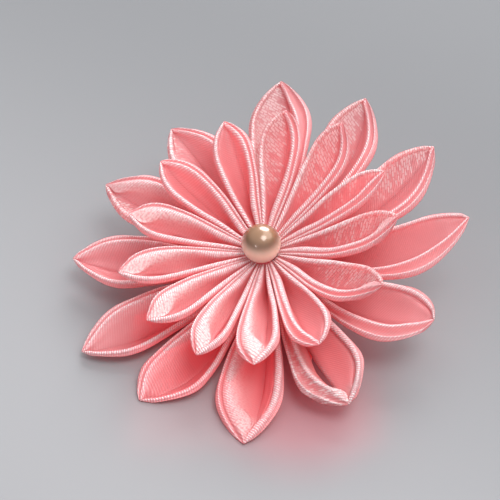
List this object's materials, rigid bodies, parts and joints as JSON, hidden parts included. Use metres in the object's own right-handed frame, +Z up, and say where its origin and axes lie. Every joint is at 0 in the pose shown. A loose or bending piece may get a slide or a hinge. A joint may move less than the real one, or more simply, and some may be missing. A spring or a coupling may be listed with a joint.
{
  "type": "kanzashi hairpin",
  "caption": "Ribbon flower hairpin: folded satin petals in tiers round a pearl, on a small pronged pin, lying on its front petals.",
  "frame": {"origin": "centre of the bounding box's underside, on the surface that the hairpin lies on", "axes": "+Z up from the surface, +Y away from the front petals towards the prongs' ends, +X to the right seen from the front"},
  "size_m": [0.0806, 0.0842, 0.0294],
  "materials": {
    "pearl": "pearlescent cream lacquer",
    "pin_steel": "nickel plated wire",
    "upper_satin": "pink satin ribbon, folded",
    "lower_satin": "pink satin ribbon, folded"
  },
  "bodies": {
    "root": {"pearl": "pearl", "hair_pin": "pin_steel", "upper_petal_1": "upper_satin", "upper_petal_2": "upper_satin", "upper_petal_3": "upper_satin", "upper_petal_4": "upper_satin", "upper_petal_5": "upper_satin", "upper_petal_6": "upper_satin", "upper_petal_7": "upper_satin", "upper_petal_8": "upper_satin", "upper_petal_9": "upper_satin", "upper_petal_10": "upper_satin", "upper_petal_11": "upper_satin", "upper_petal_12": "upper_satin", "upper_petal_13": "upper_satin", "lower_petal_1": "lower_satin", "lower_petal_2": "lower_satin", "lower_petal_3": "lower_satin", "lower_petal_4": "lower_satin", "lower_petal_5": "lower_satin", "lower_petal_6": "lower_satin", "lower_petal_7": "lower_satin", "lower_petal_8": "lower_satin", "lower_petal_9": "lower_satin", "lower_petal_10": "lower_satin", "lower_petal_11": "lower_satin", "lower_petal_12": "lower_satin"}
  },
  "joints": []
}
